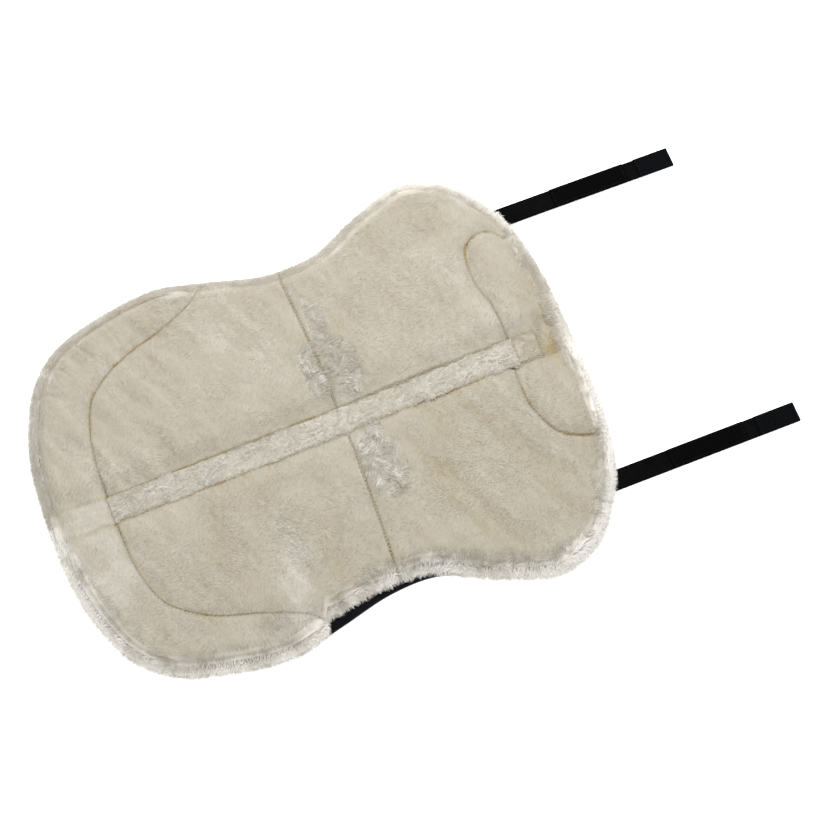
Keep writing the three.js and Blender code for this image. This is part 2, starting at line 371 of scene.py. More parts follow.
def pad_top(x, y, side):
    """Height of the fleece's body, under the tips of its pile. y is the distance from the spine."""
    seed = 10 + 10 * SIDE_SEED[side]
    inside = to_edge(x, y)
    rear, pocket = from_seams(x, y, side)
    cross = x - cross_seam_line(y)
    rise = smooth((from_strip(x, y, side) + 1) / 22)
    valley = VALLEY_TOP + 1.5
    z = valley + (FLEECE_TOP - valley) * rise
    z = z - (1.0 + (EDGE_DROP[side] - 1.0) * rise) * (1 - smooth((inside - setback(x, side) - 5) / 16))
    z = z - (groove(rear, 2.0, 7.0) + groove(rear, 0.5, 1.5)) * rear_seam_shows(x)
    z = z - groove(pocket, 2.3, 6.0) - groove(pocket, 0.5, 1.5)
    z = z - groove(cross, 1.4, 5.0) - groove(cross, 0.4, 1.1)
    z = z - rim_seam(x, y, side, 1.7, 2.2)
    z = z + (folds(x, y, side) - hollows(x, y, side)) * smooth(inside / 25)
    z = z + 1.1 * noise(x, y, 60, seed) + 0.5 * noise(x, y, 19, seed + 1)
    z = z + 0.25 * streaks(x, y, side, seed + 3)
    z = z + (1.3 * fluffy_patch(x, y, side) + 0.9 * edge_fluff(x, y, side)) * (curls(x, y, 6, 34) - 0.5)
    return z + 0.25 * noise(x, y, 6, seed + 2) * smooth(inside / 10)


def combed_top(x, y, side):
    """pad_top brought down near the pad's edge: the surface that the pile stands on."""
    return np.minimum(pad_top(x, y, side), edge_height(to_edge(x, y) - setback(x, side)))


def slope_along(height, x, y, heading):
    """How steeply a height field climbs in a direction, as an angle."""
    step = 0.8
    dx, dy = step * np.cos(heading), step * np.sin(heading)
    return np.arctan((height(x + dx, y + dy) - height(x - dx, y - dy)) / (2 * step))


# Where the pile was left long and curly: middle, radii and strength.
FLUFFY_SPOTS = {
    "left": [(18, 55, 13, 26, 1.0), (46, 52, 15, 30, 1.0), (36, 95, 9, 30, 0.7)],
    "right": [(46, 52, 20, 38, 1.0), (-62, 100, 9, 36, 0.3), (-95, 166, 30, 12, 0.5)],
}


def fluffy_patch(x, y, side):
    found = np.zeros(np.shape(x))
    for cx, cy, rx, ry, strength in FLUFFY_SPOTS[side]:
        r = ((x - cx) / rx) ** 2 + ((y - cy) / ry) ** 2
        found = np.maximum(found, strength * smooth(1.5 - r + 0.5 * noise(x, y, 9, 37)))
    return found


# How much paler the fleece is painted near the edge, per half: partly the edge's own paler tips, partly
# painted light, more on the right half, whose edge faces away from the key light.
EDGE_PALE_AND_LIT = {"left": 0.26, "right": 0.58}
REAR_WHITE = {"left": 0.03, "right": 0.12}


def whiteness(x, y, side):
    """0 for the tan at the bottom of the seams, about 0.5 for the cream pile, 1.2 for the palest tips.
    Besides the fleece's own tones it carries painted shade and painted light.
    """
    seed = 40 + 10 * SIDE_SEED[side]
    inside = to_edge(x, y) - setback(x, side)
    w = 0.46 + 0.09 * noise(x, y, 52, seed) + 0.05 * noise(x, y, 15, seed + 1)
    w = w + 0.16 * streaks(x, y, side, seed + 3)
    # Paler towards the edge: partly its own paler tips, partly painted light on the edge.
    edge_pale_and_lit = EDGE_PALE_AND_LIT[side] + 0.30 * smooth((x - 60) / 130)
    w = w + (edge_pale_and_lit + 0.12 * noise(x, y, 11, seed + 5)) * (1 - smooth(inside / 22))
    # Painted light and shade: curl crests are paler and the creases between curls darker, from the same curls
    # as the height.
    curl = curls(x, y, 6, 34) - 0.5
    w = w + fluffy_patch(x, y, side) * (0.27 + 0.25 * curl) + edge_fluff(x, y, side) * (0.12 + 0.3 * curl)
    if side == "right":
        w = w + 0.16 * rear_ridge(x + 10, y)
    w = w + REAR_WHITE[side] * smooth((-205 - x) / 10)
    # Partly painted shade: the fleece darkens towards tan down the seams, the seam lines' own tan deepened as
    # shade in their creases.
    rear, pocket = from_seams(x, y, side)
    w = w - groove(rear, 0.5, 1.7) * rear_seam_shows(x) - groove(pocket, 0.45, 1.7)
    w = w - groove(x - cross_seam_line(y), 0.4, 1.3)
    w = w - rim_seam(x, y, side, 0.32, 1.5)
    # Painted shade: a tan line along the strip's edge, where the panel dips beside it.
    beside_strip = smooth((x + 272) / 40) * smooth((SQUARE_HIGH[0] + 2 - x) / 4)
    w = w - groove(from_strip(x, y, side) - 0.6, 0.35, 1.5) * beside_strip
    # Painted shade: a tan spot in the hollow ahead of the square, and darker colour in the pressed hollows.
    shade_ahead_of_square = np.exp(-(((x - 241) / 8) ** 2) - (y / 12) ** 2)
    return np.clip(w - 0.17 * shade_ahead_of_square - np.minimum(0.08 * hollows(x, y, side), 0.17), 0, 1.25)


# ---- materials


def srgb(*display):
    """Linear colour from 0 to 255 display values."""
    shares = (v / 255 for v in display)
    return (*(v / 12.92 if v <= 0.04045 else ((v + 0.055) / 1.055) ** 2.4 for v in shares), 1.0)


def shader_of(material):
    return material.node_tree.nodes["Principled BSDF"]


def new_material(name, colour, roughness, sheen=0.0, sheen_roughness=0.5, specular=0.25):
    material = bpy.data.materials.new(name)
    material.use_nodes = True
    values = {
        "Base Color": colour, "Roughness": roughness, "Specular IOR Level": specular,
        "Sheen Weight": sheen, "Sheen Roughness": sheen_roughness,
    }
    for socket, value in values.items():
        shader_of(material).inputs[socket].default_value = value
    return material


def node(material, kind, **values):
    made = material.node_tree.nodes.new(kind)
    for name, value in values.items():
        if name in made.inputs:
            made.inputs[name].default_value = value
        else:
            setattr(made, name, value)
    return made


def link(material, output, target):
    material.node_tree.links.new(output, target)


def maths(material, operation, *values):
    """Output of a maths node. Each value is a number or another node's output."""
    made = node(material, "ShaderNodeMath", operation=operation)
    for value, target in zip(values, made.inputs):
        if isinstance(value, float):
            target.default_value = value
        else:
            link(material, value, target)
    return made.outputs[0]


def texture(material, kind, place, output="Fac", **values):
    """Output of a texture node laid out by a place vector."""
    made = node(material, f"ShaderNodeTex{kind}", **values)
    link(material, place, made.inputs["Vector"])
    return made.outputs[output]


def object_place(material):
    return node(material, "ShaderNodeTexCoord").outputs["Object"]


def paint(material, factor, stops):
    """Colours the shader by a ramp of (position, colour) stops."""
    made = node(material, "ShaderNodeValToRGB")
    elements = made.color_ramp.elements
    while len(elements) < len(stops):
        elements.new(0.5)
    for element, (position, colour) in zip(elements, stops):
        element.position = position
        element.color = colour
    link(material, factor, made.inputs["Fac"])
    link(material, made.outputs["Color"], shader_of(material).inputs["Base Color"])


def add_bump(material, height, strength, distance):
    bump = node(material, "ShaderNodeBump", Strength=strength, Distance=distance)
    link(material, height, bump.inputs["Height"])
    link(material, bump.outputs["Normal"], shader_of(material).inputs["Normal"])


# Shade 0, the tan down the seams, is partly the seam lines' own tan and partly painted shade in their
# creases.
FLEECE_SHADES = [
    srgb(130, 116, 84), srgb(143, 136, 120), srgb(149, 143, 130), srgb(161, 156, 146), srgb(187, 183, 174),
    # Shade 5, for the edge's tips: partly their own paler colour, partly painted light on the side-facing
    # edge.
    srgb(210, 207, 202),
]


def fleece_material(name, colour):
    return new_material(name, colour, 0.95, sheen=0.1, sheen_roughness=0.6, specular=0.12)


def fleece_backing(name):
    """The dense body of the pile below its tips: cream with soft brush marks, and fine clumps."""
    material = fleece_material(name, FLEECE_SHADES[2])
    place = object_place(material)
    brushed = node(material, "ShaderNodeMapping", vector_type="TEXTURE", Scale=(4, 1, 1))
    brushed.inputs["Rotation"].default_value = (0, 0, math.atan2(BRUSHED[1], BRUSHED[0]))
    link(material, place, brushed.inputs["Vector"])
    marks = texture(material, "Noise", brushed.outputs["Vector"], Scale=330.0, Detail=3.0, Roughness=0.6)
    # whiteness holds painted shade and painted light as well as the fleece's own tones.
    shade = node(material, "ShaderNodeAttribute", attribute_name="whiteness")
    marked = maths(material, "MULTIPLY_ADD", marks, 0.3, shade.outputs["Fac"])
    # The ramp ends at 1 and whiteness goes past it, so both are scaled down.
    scale = 0.7
    stops = [(scale * (0.15 + 0.25 * n), c) for n, c in enumerate(FLEECE_SHADES)]
    paint(material, maths(material, "MULTIPLY", marked, scale), stops)
    clumps = texture(material, "Noise", place, Scale=600.0, Detail=4.0, Roughness=0.7)
    add_bump(material, clumps, 0.5, 0.0012)
    return material


def woven_material(name, dark, light, pitch, roughness, sheen):
    """Plain weave of crossing yarns, a pitch apart in metres."""
    material = new_material(name, dark, roughness, sheen=sheen, sheen_roughness=0.4, specular=0.03)
    place = object_place(material)
    waves = [
        texture(material, "Wave", place, wave_type="BANDS", bands_direction=direction,
                Scale=0.314 / pitch, Distortion=0.6, Detail=1.0)
        for direction in ("X", "Y")
    ]
    weave = maths(material, "MULTIPLY", *waves)
    fluff = texture(material, "Noise", place, Scale=60.0, Detail=6.0, Roughness=0.65)
    mixed = maths(material, "MULTIPLY_ADD", weave, 0.5, fluff)
    paint(material, mixed, [(0.35, dark), (1.0, light)])
    add_bump(material, mixed, 0.5, 0.0004)
    return material


def nap_material(name, dark, light, scale, roughness):
    """Brushed loops or a field of small hooks."""
    material = new_material(name, dark, roughness, sheen_roughness=0.35, specular=0.03)
    cells = texture(material, "Voronoi", object_place(material), "Distance", Scale=scale)
    paint(material, cells, [(0.0, light), (0.55, dark)])
    add_bump(material, cells, 0.7, 0.0005)
    return material


BACKING = fleece_backing("fleece_body")
PILE = [fleece_material(f"fleece_pile_{n}", colour) for n, colour in enumerate(FLEECE_SHADES)]
COTTON = woven_material("quilted_cotton", srgb(7, 7, 9), srgb(24, 24, 27), 0.0009, 0.85, 0.05)
BINDING = woven_material("edge_binding", srgb(5, 5, 6), srgb(20, 20, 22), 0.0008, 0.8, 0.03)
PIPING = woven_material("grey_piping", srgb(48, 48, 54), srgb(80, 80, 88), 0.0007, 0.7, 0.1)
WEBBING = woven_material("strap_webbing", srgb(2, 2, 2), srgb(10, 10, 11), 0.0011, 0.9, 0.0)
LOOP_TAPE = nap_material("loop_tape", srgb(2, 2, 2), srgb(11, 11, 12), 1500.0, 0.95)
# The hook tape's bluish tint is painted sheen: the reflection off its hooks, put into its colour.
HOOK_TAPE_BLUE_SHEEN = nap_material("hook_tape", srgb(3, 4, 5), srgb(14, 16, 21), 1100.0, 0.8)
BLACK_THREAD = woven_material("black_thread", srgb(4, 4, 5), srgb(20, 20, 21), 0.0004, 0.6, 0.05)
CREAM_THREAD = woven_material("cream_thread", srgb(150, 138, 108), srgb(196, 186, 158), 0.0004, 0.7, 0.2)


# ---- meshes


def add_object(name, data):
    made = bpy.data.objects.new(name, data)
    bpy.context.scene.collection.objects.link(made)
    return made


def make_piece(name, points, arrays, material, soft=True):
    """A mesh object from points in millimetres and arrays of corner numbers. material may be a list."""
    mesh = bpy.data.meshes.new(name)
    mesh.vertices.add(len(points))
    mesh.vertices.foreach_set("co", (points * MM).astype(np.float32).ravel())
    corners = np.concatenate([a.ravel() for a in arrays]).astype(np.int32)
    sizes = np.concatenate([np.full(len(a), a.shape[1]) for a in arrays]).astype(np.int32)
    mesh.loops.add(len(corners))
    mesh.loops.foreach_set("vertex_index", corners)
    mesh.polygons.add(len(sizes))
    mesh.polygons.foreach_set("loop_start", np.r_[0, np.cumsum(sizes)[:-1]].astype(np.int32))
    mesh.polygons.foreach_set("use_smooth", np.full(len(sizes), soft))
    for one in material if isinstance(material, list) else [material]:
        mesh.materials.append(one)
    mesh.update(calc_edges=True)
    return add_object(name, mesh)


def solid_piece(name, shape, material, side="left"):
    """A piece from a closed body's points and arrays of faces, mirrored for the right, facing outwards."""
    points, arrays = mirrored(shape[0], HALVES[side]), shape[1]
    if sum(signed_volume(points, a) for a in arrays) < 0:
        arrays = [a[:, ::-1] for a in arrays]
    return make_piece(name, points, arrays, material)


def set_whiteness(piece, values):
    attribute = piece.data.attributes.new("whiteness", "FLOAT", "POINT")
    attribute.data.foreach_set("value", np.asarray(values, np.float32))


def closed_slab(x, y, top, bottom):
    """Points and faces of a closed body over a grid of plan points, between two heights."""
    rows, columns = x.shape
    count = rows * columns
    layers = [np.dstack([x, y, np.broadcast_to(z, x.shape)]).reshape(-1, 3) for z in (top, bottom)]
    index = np.arange(count).reshape(rows, columns)
    a = index[:-1, :-1].ravel()
    upper = np.stack([a, a + columns, a + columns + 1, a + 1], 1)
    ring = np.concatenate([index[0, :-1], index[:-1, -1], index[-1, :0:-1], index[:0:-1, 0]])
    after = np.roll(ring, -1)
    wall = np.stack([ring, after, after + count, ring + count], 1)
    return np.concatenate(layers), [np.concatenate([upper, count + upper[:, ::-1], wall])]


def swept(rings):
    """Points and faces of a tube with flat ends through rings of points, an array (rings, points, 3)."""
    count, around = rings.shape[:2]
    points = rings.reshape(-1, 3)
    i, j = np.meshgrid(np.arange(count - 1), np.arange(around), indexing="ij")
    a, b = (i * around + j).ravel(), (i * around + (j + 1) % around).ravel()
    sides = np.stack([a, a + around, b + around, b], 1)
    ends = []
    for start, turn in ((0, 1), ((count - 1) * around, -1)):
        middle = np.full(around, len(points))
        points = np.vstack([points, points[start:start + around].mean(0)])
        ring = start + np.arange(around)
        ends.append(np.stack([*(ring, np.roll(ring, -1))[::turn], middle], 1))
    return points, [sides, np.concatenate(ends)]


def signed_volume(points, faces):
    """Positive if triangles or quads face outwards."""
    a, b, c = points[faces[:, 0]], points[faces[:, 1]], points[faces[:, 2]]
    volume = (a * np.cross(b, c)).sum()
    if faces.shape[1] == 4:
        volume += (a * np.cross(c, points[faces[:, 3]])).sum()
    return volume


def mirrored(points, sign):
    points = np.array(points, float)
    points[..., 1] *= sign
    return points


def bend_at_spine(piece):
    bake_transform(piece)


# ---- fleece bodies


def strip_grid(inner, outer, across):
    """A grid of plan points between two lines with the same number of points."""
    t = np.linspace(0, 1, across)[None, :, None]
    return inner[:, None, :] * (1 - t) + outer[:, None, :] * t


def fleece_body(side, name, nodes, inner, outer, across):
    """A padded panel: its top follows the pad, its edges tuck down into the seams."""
    plan = strip_grid(inner, outer, across)
    x, y = plan[..., 0], plan[..., 1]
    x += (cross_seam_line(y) - cross_seam_line(0)) * smooth(1 - np.abs(x - CROSS_SEAM_X) / 60)
    top = pad_top(x, y, side)
    border = np.full(x.shape, 99.0)
    for edge in (plan[0], plan[-1], plan[:, 0]):
        for px, py in edge[::2]:
            border = np.minimum(border, np.hypot(x - px, y - py))
    top = BACKING_Z + 1.0 + (top - BACKING_Z - 1.0) * (0.9 + 0.1 * smooth(border / 2.0))
    top = top - 1.4 * (1 - smooth((to_edge(x, y) - setback(x, side) - PANEL_INSET) / 4))
    shape = closed_slab(x, y, top, BACKING_Z)
    piece = solid_piece(f"{side}_{name}_body", shape, BACKING, side)
    set_whiteness(piece, whiteness(shape[0][:, 0], np.abs(shape[0][:, 1]), side))
    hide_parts(*[f"{side}_{part}" for part in nodes])
    bend_at_spine(piece)


def inner_edge(x, side):
    """The panels' edge beside the spine strip."""
    return np.stack([x, strip_reach(x, side) + SPINE_GAP + HALVES[side] * strip_centre(x)], 1)


def rear_panel(side):
    x = np.linspace(REAR_SEAM[0][0] + 1, cross_seam_line(0) - SEAM_GAP, 108)
    at_edge = half_width(x, PANEL_INSET) - setback(x, side)
    at_seam = np.interp(x, *SEAM.T) - SEAM_GAP
    reach = np.where(x > SEAM[-1, 0], at_edge, at_seam)
    outer = np.stack([x, np.maximum(reach, STRIP_HALF + 20)], 1)
    fleece_body(side, "rear_fleece", ["rear_fleece", "rear_foam"], inner_edge(x, side), outer, 64)


def front_panel(side):
    """From the cross seam forward, round the outside of the withers pocket."""
    seam = POCKET_LINE[side]
    start = cross_seam_line(0) + SEAM_GAP
    beside_strip = inner_edge(np.arange(start, seam[0, 0] - 1, 2.0), side)
    inner = np.vstack([beside_strip, (seam - inward(seam) * SEAM_GAP)[1:]])
    edge = EDGE + EDGE_IN * (PANEL_INSET + setback(EDGE[:, 0], side))[:, None]
    edge = edge[(edge[:, 0] > CROSS_SEAM_X - 1) & (edge[:, 1] > seam[-1, 1] + 4)]
    edge[0, 0] = start
    inner, outer = (resampled(line, 190) for line in (inner, edge))
    fleece_body(side, "front_fleece", ["front_fleece", "front_foam"], inner, outer, 70)


def withers_pocket(side):
    seam = POCKET_LINE[side]
    front = spline([(262, 8), (259, 60), (255, 88), (250, seam[-1, 1] - 3)])
    inner, outer = (resampled(line, 70) for line in (seam + inward(seam) * SEAM_GAP, front))
    fleece_body(side, "wither_fleece", ["wither_fleece", "wither_foam"], inner, outer, 24)


def rear_band(side):
    seam = SEAM[SEAM[:, 1] > 2]
    edge = EDGE + EDGE_IN * PANEL_INSET
    edge = edge[(edge[:, 0] < -58) & (edge[:, 1] > 2)]
    inner, outer = (resampled(line, 130) for line in (seam - inward(seam) * SEAM_GAP, edge))
    fleece_body(side, "rear_band", ["rear_band_fleece", "rear_riser_foam"], inner, outer, 26)


# Distance in from the edge and height, from the roll's inner top edge over and under.
ROLL_SECTION = np.array([
    (15, 11.2), (12, 12.6), (8, 13.2), (4.5, 12.6), (2, 10.8), (0.6, 8.5), (0.6, 5.5), (2.2, 3.6), (6, 3.3),
    (15, 4.5),
])


def edge_roll(side):
    """The turned fleece edge, all round the half. At the waist it stands back from the cotton's edge."""
    line = np.column_stack([EDGE[:, 0], np.maximum(EDGE[:, 1], SPINE_GAP)])
    inset = setback(line[:, 0], side)[:, None] + ROLL_SECTION[:, 0]
    plan = line[:, None, :] + EDGE_IN[:, None, :] * inset[..., None]
    wobble = 1 + 0.06 * noise(line[:, 0], line[:, 1], 14, 71 + SIDE_SEED[side])
    height = np.maximum(ROLL_SECTION[:, 1] * wobble[:, None], ROLL_SECTION[:, 1].min())
    shape = swept(np.dstack([plan, height]))
    piece = solid_piece(f"{side}_edge_roll_body", shape, BACKING, side)
    set_whiteness(piece, np.clip(whiteness(shape[0][:, 0], np.abs(shape[0][:, 1]), side), 0, 1))
    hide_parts(*[f"{side}_{part}_edge_roll" for part in ("rear", "flank", "front")])
    bend_at_spine(piece)


def strip_top(x, y, curly):
    """Height of the fleece over the spine. y is the distance from the strip's middle."""
    z = VALLEY_TOP + 1.6 - 0.7 * smooth(x - SQUARE_LOW[0])
    z = z - 0.8 * curly * np.abs(y / STRIP_HALF) ** 4 + 0.4 * noise(x, y, 15, 82)
    return z + 0.8 * curly * (curls(x / 1.7, y, 5.5, 81) - 0.5)


def strip_whiteness(x, y, curly):
    # Painted light and shade: the strip's curl crests are paler and the creases between them darker, from the
    # same curls as its top.
    w = 0.52 + 0.08 * noise(x, y, 30, 83) + curly * (0.17 + 0.18 * (curls(x / 1.7, y, 5.5, 81) - 0.5))
    outline = np.minimum(np.abs(x - SQUARE_LOW[0]), np.abs(x - SQUARE_HIGH[0]))
    w = w - 0.22 * smooth(x - SQUARE_LOW[0] + 0.5) - groove(outline, 0.3, 1.0)
    # Painted shade: the strip darkens towards its edges, where its top dips.
    return np.clip(w - 0.3 * curly * np.abs(y / STRIP_HALF) ** 10, 0, 1)


def across_spine(field, x, y):
    """A field of both halves, run together over the spine. y is measured from the spine to either side."""
    left, right = field(x, np.abs(y), "left"), field(x, np.abs(y), "right")
    return right + (left - right) * smooth((y + 12) / 24)


def spine_top(x, y, curly):
    """Height of the strip and square, and of the fleece ahead and behind. y is from their middle."""
    return np.where(on_strip(x), strip_top(x, y, curly), across_spine(combed_top, x, y + strip_centre(x)))


def spine_whiteness(x, y, curly):
    plain = across_spine(whiteness, x, y + strip_centre(x))
    # Painted light: the fleece behind the strip is painted paler to offset the shade it lies in, lower than
    # its neighbours.
    plain = plain + 0.16 * smooth((x + 268) / 25) * (x < STRIP_LOW[0])
    return np.where(on_strip(x), strip_whiteness(x, y, curly), plain)


def on_strip(x):
    return (x >= STRIP_LOW[0] - 0.5) & (x <= SQUARE_HIGH[0] + 0.5)


def spine_reach(x, y):
    """How far the strip reaches on the side that y is on."""
    return np.where(y > 0, strip_reach(x, "left"), strip_reach(x, "right"))


def spine_body():
    """The clipped strip over the spine and its square, with the fleece behind and ahead of them."""
    for name, node_name, low, high, half, curly, slot in (
        ("strip", "strip", STRIP_LOW[0], STRIP_HIGH[0], STRIP_HALF, 1.0, "trimmed_fleece"),
        ("square", "square", SQUARE_LOW[0], SQUARE_HIGH[0], STRIP_HALF - 1.5, 0.6, "trimmed_fleece"),
        ("rear", "rear_fleece", TAPE_LOW[0], STRIP_LOW[0] - SEAM_GAP, STRIP_HALF, 0.4, "fleece"),
        ("front", "front_fleece", SQUARE_HIGH[0] + SEAM_GAP, TAPE_HIGH[0], STRIP_HALF, 0.2, "fleece"),
    ):
        x = np.linspace(low, high, int((high - low) / 1.5) + 2)
        x, y = np.meshgrid(x, np.linspace(-half, half, 22), indexing="ij")
        white = spine_whiteness(x, y, curly).ravel()
        placed_y = y * spine_reach(x, y) / STRIP_HALF + strip_centre(x)
        shape = closed_slab(x, placed_y, spine_top(x, y, curly), TAPE_HIGH[2] + 0.3)
        piece = solid_piece(f"spine_{name}_body", shape, BACKING)
        set_whiteness(piece, np.r_[white, white])
        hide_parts(f"spine_{node_name}")
        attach(piece, "spine")


# ---- pile


# A lock's faces by their corners: 0 to 2 are its base, 3 to 5 its waist and 6 its tip.
LOCK_FACES = np.array([
    (0, 2, 1), (0, 1, 4), (0, 4, 3), (1, 2, 5), (1, 5, 4),
    (2, 0, 3), (2, 3, 5), (3, 4, 6), (4, 5, 6), (5, 3, 6),
])
LOCK_POINTS = 7


def tufts(places, heading, lift, length, width, flatness, curl, twist, seed):
    """Closed three-sided tapering locks, rising by the angle lift. curl bends them over, twist sideways."""
    rng = np.random.default_rng(seed)
    count = len(places)
    side = heading + np.pi / 2
    across = np.stack([np.cos(side), np.sin(side), np.zeros(count)], 1)

    def direction(angle, turn):
        level = np.cos(angle)
        return np.stack([np.cos(heading + turn) * level, np.sin(heading + turn) * level, np.sin(angle)], 1)

    first = direction(lift, 0)
    second = direction(lift - curl, rng.normal(0, 1, count) * twist)
    half = (length / 2)[:, None]
    middle = places + first * half
    tip = middle + second * half
    up = np.cross(first, across)
    spin = np.pi / 2 + rng.normal(0, 0.3, count)
    ring = []
    for k in range(3):
        a = (spin + k * 2 * np.pi / 3)[:, None]
        ring.append((np.cos(a) * across + flatness * np.sin(a) * up) * width[:, None])
    points = np.stack([*(places + r for r in ring), *(middle + r * 0.8 for r in ring), tip], 1)
    faces = (LOCK_FACES + LOCK_POINTS * np.arange(count)[:, None, None]).reshape(-1, 3)
    return points.reshape(-1, 3), faces


def pile_piece(name, points, faces, shades):
    """Locks as one piece; shades holds one shade number for each lock."""
    first = points[:LOCK_POINTS]
    if signed_volume(first - first.mean(0), faces[:len(LOCK_FACES)]) < 0:
        faces = faces[:, ::-1]
    piece = make_piece(name, points, [faces], PILE, soft=False)
    piece.data.polygons.foreach_set("material_index", np.repeat(shades, len(LOCK_FACES)).astype(np.int32))
    return piece


def half_pile(side, label, block, locks, shades, slot, **shape):
    """A block of one half's locks, kept above the ground."""
    points, faces = tufts(*(values[block] for values in locks), **shape)
    points[:, 2] = np.maximum(points[:, 2], 0.4)
    piece = pile_piece(f"{side}_{label}_pile", points, faces, shades[block])
    bend_at_spine(piece)


def jittered(low, high, step, seed):
    """Plan points about a step apart over a box, none in line with its neighbours."""
    rng = np.random.default_rng(seed)
    x, y = np.meshgrid(np.arange(low[0], high[0], step), np.arange(low[1], high[1], step), indexing="ij")
    x, y = x.ravel(), y.ravel()
    return x + rng.uniform(-0.6, 0.6, len(x)) * step, y + rng.uniform(-0.6, 0.6, len(y)) * step


def shade_of(white, rng):
    return np.clip(np.round(white * 4 + rng.normal(0, 0.15, len(white))), 0, len(FLEECE_SHADES) - 1)


NAP_TURN = {"left": 0.9, "right": -0.2}


def nap_heading(x, y, side):
    """Which way the pile was brushed."""
    seed = 91 + SIDE_SEED[side]
    return -0.5 + 1.0 * noise(x, y, 70, seed) + 0.8 * noise(x, y, 22, seed + 5) + NAP_TURN[side]


# The panels' pile: spacing, lift in degrees, length, width, and how deep its roots sit.
PILE_STEP = 1.22
PILE_LIFT = 12
PILE_LENGTH = 3.5
PILE_WIDTH = 0.31
PILE_ROOT = 0.2
PANEL_BLOCKS = ["rear_band", "rear_panel", "mid_panel", "waist_panel", "front_panel", "wither"]
BLOCK_EDGES = [-150, -60, CROSS_SEAM_X, 120, 200]


def panel_pile(side):
    """The pile of all the panels of a half, in blocks from the rear to the withers."""
    rng = np.random.default_rng(101 + SIDE_SEED[side])
    x, y = jittered((-272, 4), (272, 216), PILE_STEP, 111 + SIDE_SEED[side])
    keep = (to_edge(x, y) - setback(x, side) > 1.5) & (y < half_width(x)) & (x > -270) & (x < 268)
    keep &= from_strip(x, y, side) > -0.9 + 0.8 * noise(x, 0 * x, 5, 158)
    keep &= np.abs(x - cross_seam_line(y)) > 0.3
    for distance in from_seams(x, y, side):
        keep &= distance > 0.4
    x, y = x[keep], y[keep]
    count = len(x)
    patch = np.maximum(fluffy_patch(x, y, side), 0.8 * edge_fluff(x, y, side))
    heading = nap_heading(x, y, side) + rng.normal(0, 0.22, count)
    heading = heading + patch**2 * 2.5 * noise(x, y, 12, 36)
    lift = np.radians(PILE_LIFT + rng.normal(0, 3, count) + 12 * patch)
    lift = lift + slope_along(lambda px, py: combed_top(px, py, side), x, y, heading)
    length = PILE_LENGTH + rng.normal(0, 0.4, count) + 1.6 * patch
    width = PILE_WIDTH + rng.normal(0, 0.03, count) + 0.12 * patch
    places = np.stack([x, y * HALVES[side], combed_top(x, y, side) - PILE_ROOT], 1)
    shades = shade_of(whiteness(x, y, side), rng)
    locks = (places, heading * HALVES[side], lift, length, width)
    for number, label in enumerate(PANEL_BLOCKS):
        block = np.digitize(x, BLOCK_EDGES) == number
        half_pile(side, label, block, locks, shades, "fleece", flatness=0.22, curl=0.2,
                  twist=0.12 + 0.3 * patch[block], seed=121 + number)


def rim_pile(side):
    """Longer locks on the turned edge, combed outwards and down."""
    rng = np.random.default_rng(131 + SIDE_SEED[side])
    count = len(EDGE) * 30
    at = rng.uniform(0, len(EDGE) - 1, count)
    x, y, nx, ny = (np.interp(at, np.arange(len(EDGE)), column) for column in (*EDGE.T, *EDGE_IN.T))
    section = ROLL_SECTION[:8]
    around = rng.uniform(0, len(section) - 1, count)
    kept = rng.uniform(0, 1, count) < np.maximum(smooth((around - 1.5) / 3), shaggy_edge(x, side))
    x, y, nx, ny, around = (values[kept] for values in (x, y, nx, ny, around))
    count = len(x)
    inset, z = (np.interp(around, np.arange(len(section)), column) for column in section.T)
    inset = inset + setback(x, side) + 0.8
    px, py = x + nx * inset, y + ny * inset
    clump = noise(x, y, 7, 73 + SIDE_SEED[side])
    shaggy = shaggy_edge(x, side)
    heading = np.arctan2(-ny, -nx) + 0.6 * clump + rng.normal(0, 0.4, count)
    side_on = around / (len(section) - 1)
    lift = np.radians(36 - 62 * side_on + 10 * shaggy + rng.normal(0, 5, count) * (0.5 + shaggy))
    length = 3.8 + rng.normal(0, 0.7, count) + (0.6 + 1.8 * shaggy) * np.abs(clump) + shaggy
    width = 0.32 + rng.normal(0, 0.05, count)
    lift = np.maximum(lift, -np.arcsin(np.clip((z - 1.0) / (length + 0.1), 0, 1)))
    places = np.stack([px, py * HALVES[side], z - 0.6], 1)
    # Rim locks a little paler still: painted light on the side-facing edge.
    shades = shade_of(whiteness(px, py, side) + 0.05 + 0.06 * clump, rng)
    locks = (places, heading * HALVES[side], lift, length, width)
    for label, block in (("rear", px < 0), ("front", px >= 0)):
        half_pile(side, f"{label}_rim", block, locks, shades, "rim_fleece", flatness=0.35, curl=0.3,
                  twist=0.35, seed=141)


